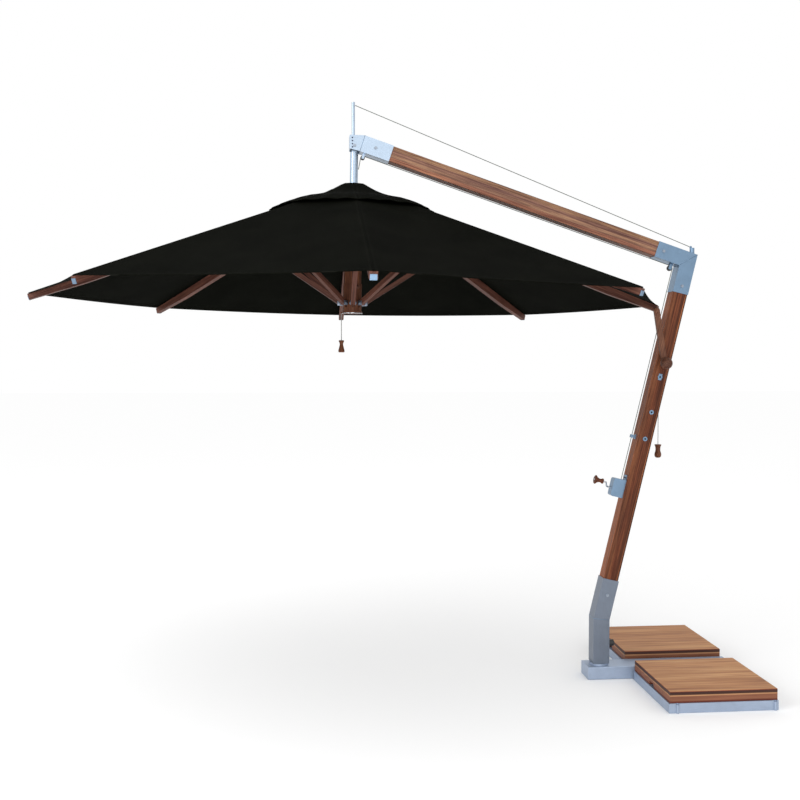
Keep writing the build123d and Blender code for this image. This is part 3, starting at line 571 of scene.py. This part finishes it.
def canopy_point(rho, s):
    """The stretched canopy: it dips a little between ribs, and its hem curves inwards."""
    t = (rho - CROWN_R) / (CANOPY_R - CROWN_R)
    dip = bow(s) * (0.006 + 0.014 * sin(pi * min(max(t, 0), 1))) * min(1, rho)
    inward = 0.010 * bow(s) * max(t, 0) ** 6
    return Vector((rho * (1 - PINCH * s) - inward, SPREAD * rho * s, canopy_z(rho) - dip))


def vent_point(rho, s):
    """The vent cap: it sags below its peak, and its loose edge lifts in waves."""
    t = max(rho - VENT_IN[0], 0) / (VENT_OUT[0] - VENT_IN[0])
    sag = VENT_SAG * sin(pi * min(t / VENT_SAG_TO, 1))
    swell = VENT_SWELL * sin(pi * max(t - VENT_SAG_TO, 0) / (1 - VENT_SAG_TO))
    lift = t * t * (0.006 * bow(s) + 0.005 * sin(1.5 * pi * s) ** 2)
    return Vector((rho * (1 - PINCH * s), SPREAD * rho * s, vent_z(rho) - sag + swell + lift))


def cloth_thickness(end):
    return lambda rho: HEM_CLOTH if rho >= end - HEM else CLOTH


def half_panel(label, k, sign, start, end, point, counts, node, material):
    """Half a panel, from rib k to mid-panel, fixed to its rib's body."""
    name = f"{label}_{k + 1}{'a' if sign > 0 else 'b'}"
    matrix = side_matrix(k)
    rows = sheet_rows(start, end, counts[0], HEM)
    piece = cloth_mesh(name, rows, counts[1], point, cloth_thickness(end), sign, material, matrix, end)
    body = f"rib_body_{k + 1}"
    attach(piece, body)
    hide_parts(node)
    ridge_out, ridge_in = point(end, 0), point(start, 0)
    edge = point(end, 1) - ridge_out
    edge.y *= sign
    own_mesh(piece)


def crown_sector(k, sign, material):
    """The flat crown round the tube, beside rib k."""
    name = f"crown_{k + 1}{'a' if sign > 0 else 'b'}"
    matrix = side_matrix(k)
    point, thickness = vent_point, lambda rho: CLOTH
    piece = cloth_mesh(name, CROWN_ROWS, 4, point, thickness, sign, material, matrix, VENT_OUT[0])
    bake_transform(piece)
    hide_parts("vent_cap")


def ridge_seam(k, start, end, height, label, material):
    """The flat-felled seam along a rib, which covers where the two half panels meet."""
    build = bmesh.new()
    count = 24
    rows = []
    for i in range(count + 1):
        rho = start + (end - start) * i / count
        z = height(rho)
        rows.append([build.verts.new((rho, y, z + dz - abs(y) * 0.15)) for y, dz in SEAM_SHAPE])
    join_rings(build, rows)
    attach(finish_mesh(f"{label}_{k + 1}", build, material, side_matrix(k)), f"rib_body_{k + 1}")


def add_canopy(material):
    for k in range(SIDES):
        for sign in (1, -1):
            half_panel("gore", k, sign, CROWN_R, CANOPY_R, canopy_point, (30, 14), "canopy", material)
            half_panel("vent", k, sign, VENT_FROM, VENT_OUT[0], vent_point, (12, 12), "vent_cap", material)
            crown_sector(k, sign, material)
        ridge_seam(k, CROWN_R, CANOPY_R, canopy_z, "canopy_seam", material)
        ridge_seam(k, VENT_FROM, VENT_OUT[0], lambda rho: vent_point(rho, 0).z, "vent_seam", material)


# ---- canopy fittings ----------------------------------------------------------------------
def rib_end_plate(k, material):
    """A metal plate over a rib's end grain."""
    build = bmesh.new()
    length = (RIB_TIP_R - RIB_PIVOT_R) / cos(SLOPE)
    corners = [(-0.0145, -0.0115), (0.0145, -0.0115), (0.0145, 0.0125), (-0.0145, 0.0125)]
    rings = []
    for along in (length + 0.0003, length + 0.0028):
        rings.append([build.verts.new(rib_point(along, up, y)) for y, up in corners])
    join_rings(build, rings)
    plate = finish_mesh(f"rib_end_{k + 1}", build, material, side_matrix(k), bevel=0.0012)
    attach(plate, f"rib_body_{k + 1}")


def pin_heads(name, spot, half, matrix, material, body):
    """Domed heads on both ends of a pin across a timber."""
    build = bmesh.new()
    for sign in (1, -1):
        turn = Matrix.Rotation(-sign * pi / 2, 4, "X")
        lathe_mesh(build, PIN_HEAD, Matrix.Translation((spot[0], sign * half, spot[1])) @ turn, 20)
    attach(finish_mesh(name, build, material, matrix), body)


def hub_ears(k, material):
    """Two metal ears on the hub that carry a strut's inner end."""
    build = bmesh.new()
    for sign in (1, -1):
        y = sorted((sign * RIB_HALF, sign * EAR))
        box_mesh(build, (EAR_X[0], y[0], EAR_Z[0]), (EAR_X[1], y[1], EAR_Z[1]))
    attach(finish_mesh(f"hub_ears_{k + 1}", build, material, side_matrix(k), bevel=0.001), "runner")


def hub_ring(material):
    """The bright ring round the foot of the lower hub."""
    build = bmesh.new()
    lathe_mesh(build, RING, Matrix.Translation((HANGER.x, 0, 0)), 48, closed=True)
    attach(finish_mesh("hub_ring", build, material, LEANED), "runner")


def add_fittings(steel, dull, bright):
    rib_joint = rib_point(*STRUT_PIN)
    for k in range(SIDES):
        matrix = side_matrix(k)
        rib_end_plate(k, steel)
        body = f"strut_body_{k + 1}"
        spot = (rib_joint.x, rib_joint.z)
        pin_heads(f"rib_pin_{k + 1}", spot, RIB_HALF, matrix, steel, body)
        hub_ears(k, dull)
        pin_heads(f"hub_pin_{k + 1}", RUNNER_PIN, 0.0156, matrix, dull, "runner")
    hub_ring(bright)


# ---- mast and boom details ----------------------------------------------------------------
def weld_beads(material):
    """Weld beads round the elbow's mitre, the boom's end block and the post's bend."""
    dot = BOOM_UP.dot(MAST_RIGHT)
    mitre = (BOOM_UP + MAST_RIGHT) * (SLEEVE / 2 / (1 + dot))
    half = SLEEVE / 2
    corners = ((1, -half), (-1, -half), (-1, half), (1, half))
    loop = [CORNER + sign * mitre + Vector((0, y, 0)) for sign, y in corners]
    loop_bead("elbow_weld", loop, WELD_R, material, "mast")
    joint = CORNER + BOOM_OUT * SLEEVE_END
    loop = [joint + sign * half * BOOM_UP + Vector((0, y, 0)) for sign, y in corners]
    loop_bead("sleeve_weld", loop, WELD_R, material, "mast")
    side = POST / 2 * tan(MAST_LEAN / 2)
    half = POST / 2
    corners = ((1, -1), (-1, -1), (-1, 1), (1, 1))
    loop = [(x * half, y * half, BEND_Z - x * side) for x, y in corners]
    loop_bead("post_weld", loop, WELD_R, material, "mast")


def cord_eye(material):
    """The small screw eye behind the mast that the pull cord hangs from."""
    build = bmesh.new()
    steps, around = 24, 10
    middle = Vector((*MAST_CORD, MAST_CORD_Z[1] + EYE_R))
    rings = []
    for i in range(steps):
        a = 2 * pi * i / steps
        out = Vector((0, cos(a), sin(a)))
        centre = middle + EYE_R * out
        turns = [2 * pi * j / around for j in range(around)]
        ring = [centre + EYE_WIRE_R * (out * cos(b) + Vector((sin(b), 0, 0))) for b in turns]
        rings.append([build.verts.new(point) for point in ring])
    join_rings(build, rings, closed=True)
    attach(finish_mesh("cord_eye", build, material), "mast")


def dress(piece, material):
    piece.data.materials.clear()
    piece.data.materials.append(material)


def dress_timber():
    """The wood on the mast, the boom and the turned and flat wooden parts."""
    dark, light = (0.052, 0.018, 0.010), (0.205, 0.072, 0.030)
    boom_dark, boom_light = (0.125, 0.056, 0.046), (0.32, 0.170, 0.105)
    mast_left = TIMBER / 2 - CORNER.dot(MAST_RIGHT)
    boom_low = TIMBER / 2 - CORNER.dot(BOOM_UP)
    mast = wood("mast_wood", MAST_UP, dark, light, (mast_left, TIMBER, MAST_STRIPS_AND_LIT_SIDE))
    boom = wood("boom_wood", BOOM_OUT, boom_dark, boom_light, (boom_low, TIMBER, BOOM_STRIPS))
    turned = wood("turned_wood", (0, 0, 1), (0.060, 0.022, 0.012), (0.17, 0.062, 0.030))
    knobs = wood("knob_wood", (0, 1, 0), (0.050, 0.020, 0.012), (0.13, 0.055, 0.035))
    grip = wood("grip_wood", MAST_RIGHT, (0.055, 0.018, 0.010), (0.16, 0.050, 0.022))
    arm = wood("arm_wood", MAST_UP, (0.060, 0.026, 0.017), (0.20, 0.085, 0.050))
    return {
        mast: ["mast_timber"],
        arm: ["stabiliser_arm"],
        boom: ["boom_timber"],
        turned: ["lower_hub", "pole_sleeve", "upper_hub", "mast_toggle", "hub_toggle"],
        knobs: ["clamp_knob", "latch_knob"],
        grip: ["crank_knob"],
        cover_wood(): ["cover_front", "cover_rear"],
    }


def dress_metal(steel, post, bright):
    """The metal and plastic parts, with the three metals that new pieces also use."""
    sleeve = metal("sleeve_steel", BOOM_OUT, (0.40, 0.49, 0.60), 0.34)
    tray = metal("tray_aluminium", (1, 0, 0), (0.34, 0.41, 0.53), 0.42, 0.55)
    bolt = metal("dull_steel", (0, 1, 0), (0.30, 0.34, 0.40), 0.35, 0.9)
    screw = metal("screw_steel", (0, 1, 0), (0.045, 0.05, 0.09), 0.4, 0.7)
    wire = metal("wire_steel", (0, 0, 1), (0.13, 0.15, 0.13), 0.45, 0.6)
    black = plastic("dark_plastic", (0.012, 0.012, 0.012), 0.5)
    iron = plastic("rough_iron", (0.05, 0.05, 0.05), 0.7)
    fixed = ["elbow_bracket", "cable_guide", "tilt_inserts", "stay_anchor"]
    return {
        steel: fixed + ["winch_housing", "winch_drum"],
        sleeve: ["boom_end_sleeve", "hanger_tube", "spur_rod", "lift_tube"],
        tray: ["base_beam", "tray_frames", "swivel_spigot", "tray_bolts"],
        post: ["mast_socket"],
        bright: ["crank_arm"],
        bolt: ["frame_bolts"],
        screw: ["small_screws"],
        wire: ["stay_cable", "lift_cable"],
        black: ["elbow_pulley", "boom_pulley", "lock_knob", "swivel_bushes"],
        iron: ["weight_slabs"],
    }


def dress_ribs():
    """Every rib and strut, with grain along its own length."""
    dark, light = (0.050, 0.020, 0.014), (0.15, 0.058, 0.040)
    for k in range(SIDES):
        matrix = side_matrix(k).to_3x3()
        ways = {
            "rib": rib_point(1, 0) - rib_point(0, 0),
            "strut": rib_point(*STRUT_PIN) - Vector((RUNNER_PIN[0], 0, RUNNER_PIN[1])),
        }
        for part, way in ways.items():
            dress(nodes[f"{part}_{k + 1}"], wood(f"{part}_wood_{k + 1}", matrix @ way, dark, light))


# ---- the scene ----------------------------------------------------------------------------
add_camera()
steel = metal("blue_steel", MAST_UP, (0.17, 0.26, 0.37), 0.36)
post = metal("post_steel", (0, 0, 1), (0.17, 0.20, 0.25), 0.40)
bright = metal("bright_steel", (0, 0, 1), (0.62, 0.65, 0.69), 0.25, 0.95)
for dressing in (dress_timber(), dress_metal(steel, post, bright)):
    for material, names in dressing.items():
        for name in names:
            dress(nodes[name], material)
dress_ribs()
rope = cord_cloth()
pull_cord("mast_cord_line", MAST_CORD, MAST_CORD_Z, "mast", rope)
pull_cord("hub_cord_line", HUB_CORD, HUB_CORD_Z, "runner", rope)
add_canopy(canopy_cloth())
add_fittings(steel, post, bright)
weld_beads(steel)
cord_eye(bright)
add_world()
add_floor()
add_area_light("key", (-6.5, -4.0, 4.0), (0.0, 0, 1.0), 4.0, 220)
add_area_light("front", (-0.5, -9.0, 2.6), (-0.5, 0, 1.0), 6.0, 120)
add_area_light("low_fill", (-1.8, -6.5, 1.0), (-1.4, 0.5, 0.0), 2.5, 110)
